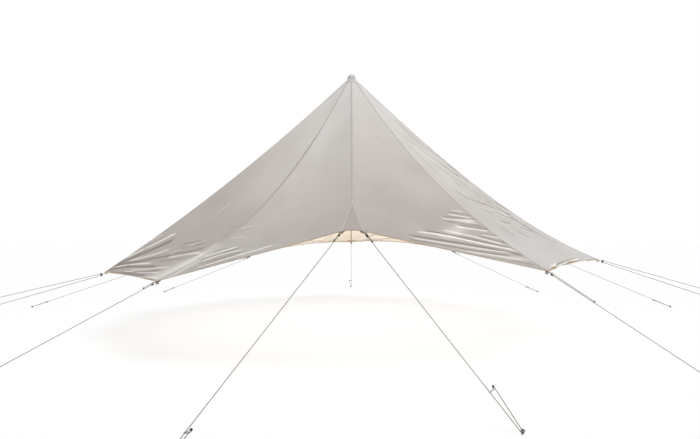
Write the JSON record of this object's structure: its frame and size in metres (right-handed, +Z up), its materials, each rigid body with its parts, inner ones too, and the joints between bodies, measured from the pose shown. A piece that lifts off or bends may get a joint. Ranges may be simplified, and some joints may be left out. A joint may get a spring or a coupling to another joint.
{
  "type": "bell tent fly sheet",
  "caption": "Round canvas bell tent fly: sewn panels fall from a peak cap to roped corners, held out by guy ropes with sliding runners and ground pegs.",
  "frame": {"origin": "on the tent's vertical axis, level with the tips of the driven pegs; the ground lies 157 mm higher", "axes": "+Z up, -Y out of the door side, +X to the right as seen from the door side"},
  "size_m": [10.924, 8.8071, 3.1561],
  "materials": {
    "canvas": "heavy cream cotton canvas, plain weave, matt",
    "gusset": "the same canvas, two layers, a shade darker",
    "cap": "stiff moulded cap covered in pale canvas",
    "webbing": "tan cotton webbing, matt",
    "rope": "khaki three-strand rope, matt",
    "runner": "satin alloy with rubbed edges",
    "peg": "black painted steel, satin"
  },
  "bodies": {
    "fly_sheet": {"corner_tab_back": "webbing", "corner_tab_back_left": "webbing", "corner_tab_back_right": "webbing", "corner_tab_door_left": "webbing", "corner_tab_door_right": "webbing", "corner_tab_front_left": "webbing", "corner_tab_front_right": "webbing", "corner_tab_rear_left": "webbing", "corner_tab_rear_right": "webbing", "corner_tab_side_left": "webbing", "corner_tab_side_right": "webbing", "door_gusset": "gusset", "guy_rope_back": "rope", "guy_rope_back_left": "rope", "guy_rope_back_right": "rope", "guy_rope_door_left": "rope", "guy_rope_door_right": "rope", "guy_rope_front_left": "rope", "guy_rope_front_right": "rope", "guy_rope_rear_left": "rope", "guy_rope_rear_right": "rope", "guy_rope_side_left": "rope", "guy_rope_side_right": "rope", "panel_back_left": "canvas", "panel_back_right": "canvas", "panel_flank_left": "canvas", "panel_flank_right": "canvas", "panel_front_left": "canvas", "panel_front_right": "canvas", "panel_rear_left": "canvas", "panel_rear_right": "canvas", "panel_side_left": "canvas", "panel_side_right": "canvas", "peak_cap": "cap", "peg_back": "peg", "peg_back_left": "peg", "peg_back_right": "peg", "peg_door_left": "peg", "peg_door_right": "peg", "peg_front_left": "peg", "peg_front_right": "peg", "peg_rear_left": "peg", "peg_rear_right": "peg", "peg_side_left_far": "peg", "peg_side_left_near": "peg", "peg_side_right_far": "peg", "peg_side_right_near": "peg"},
    "runner_back": {"runner_back": "runner"},
    "runner_back_left": {"runner_back_left": "runner"},
    "runner_back_right": {"runner_back_right": "runner"},
    "runner_door_left": {"runner_door_left": "runner"},
    "runner_door_right": {"runner_door_right": "runner"},
    "runner_front_left": {"runner_front_left": "runner"},
    "runner_front_right": {"runner_front_right": "runner"},
    "runner_rear_left": {"runner_rear_left": "runner"},
    "runner_rear_right": {"runner_rear_right": "runner"},
    "runner_side_left_far": {"runner_side_left_far": "runner"},
    "runner_side_left_near": {"runner_side_left_near": "runner"},
    "runner_side_right_far": {"runner_side_right_far": "runner"},
    "runner_side_right_near": {"runner_side_right_near": "runner"}
  },
  "joints": [
    {"name": "runner_back_slide", "type": "slide", "parent": "fly_sheet", "child": "runner_back", "axis": [-0.0044, -0.8721, 0.4892], "range_m": [-0.19, 0.5], "deforming": ["guy_rope_back"]},
    {"name": "runner_back_left_slide", "type": "slide", "parent": "fly_sheet", "child": "runner_back_left", "axis": [0.7727, -0.5585, 0.3015], "range_m": [-0.19, 0.5], "deforming": ["guy_rope_back_left"]},
    {"name": "runner_back_right_slide", "type": "slide", "parent": "fly_sheet", "child": "runner_back_right", "axis": [-0.7678, -0.5459, 0.3355], "range_m": [-0.19, 0.5], "deforming": ["guy_rope_back_right"]},
    {"name": "runner_door_left_slide", "type": "slide", "parent": "fly_sheet", "child": "runner_door_left", "axis": [0.3853, 0.7734, 0.5034], "range_m": [-0.16, 0.5], "deforming": ["guy_rope_door_left"]},
    {"name": "runner_door_right_slide", "type": "slide", "parent": "fly_sheet", "child": "runner_door_right", "axis": [-0.4722, 0.6292, 0.6173], "range_m": [-0.19, 0.5], "deforming": ["guy_rope_door_right"]},
    {"name": "runner_front_left_slide", "type": "slide", "parent": "fly_sheet", "child": "runner_front_left", "axis": [0.5817, 0.7202, 0.378], "range_m": [-0.19, 0.5], "deforming": ["guy_rope_front_left"]},
    {"name": "runner_front_right_slide", "type": "slide", "parent": "fly_sheet", "child": "runner_front_right", "axis": [-0.5826, 0.6556, 0.4804], "range_m": [-0.19, 0.5], "deforming": ["guy_rope_front_right"]},
    {"name": "runner_rear_left_slide", "type": "slide", "parent": "fly_sheet", "child": "runner_rear_left", "axis": [0.918, -0.2614, 0.2981], "range_m": [-0.19, 0.5], "deforming": ["guy_rope_rear_left"]},
    {"name": "runner_rear_right_slide", "type": "slide", "parent": "fly_sheet", "child": "runner_rear_right", "axis": [-0.9013, -0.2491, 0.3544], "range_m": [-0.19, 0.5], "deforming": ["guy_rope_rear_right"]},
    {"name": "runner_side_left_far_slide", "type": "slide", "parent": "fly_sheet", "child": "runner_side_left_far", "axis": [0.9738, -0.0338, 0.2248], "range_m": [-0.19, 0.5], "deforming": ["guy_rope_side_left"]},
    {"name": "runner_side_left_near_slide", "type": "slide", "parent": "fly_sheet", "child": "runner_side_left_near", "axis": [0.8288, 0.4963, 0.2585], "range_m": [-0.19, 0.5], "deforming": ["guy_rope_side_left"]},
    {"name": "runner_side_right_far_slide", "type": "slide", "parent": "fly_sheet", "child": "runner_side_right_far", "axis": [-0.9624, -0.0285, 0.2701], "range_m": [-0.19, 0.5], "deforming": ["guy_rope_side_right"]},
    {"name": "runner_side_right_near_slide", "type": "slide", "parent": "fly_sheet", "child": "runner_side_right_near", "axis": [-0.8121, 0.4939, 0.3107], "range_m": [-0.19, 0.5], "deforming": ["guy_rope_side_right"]}
  ]
}
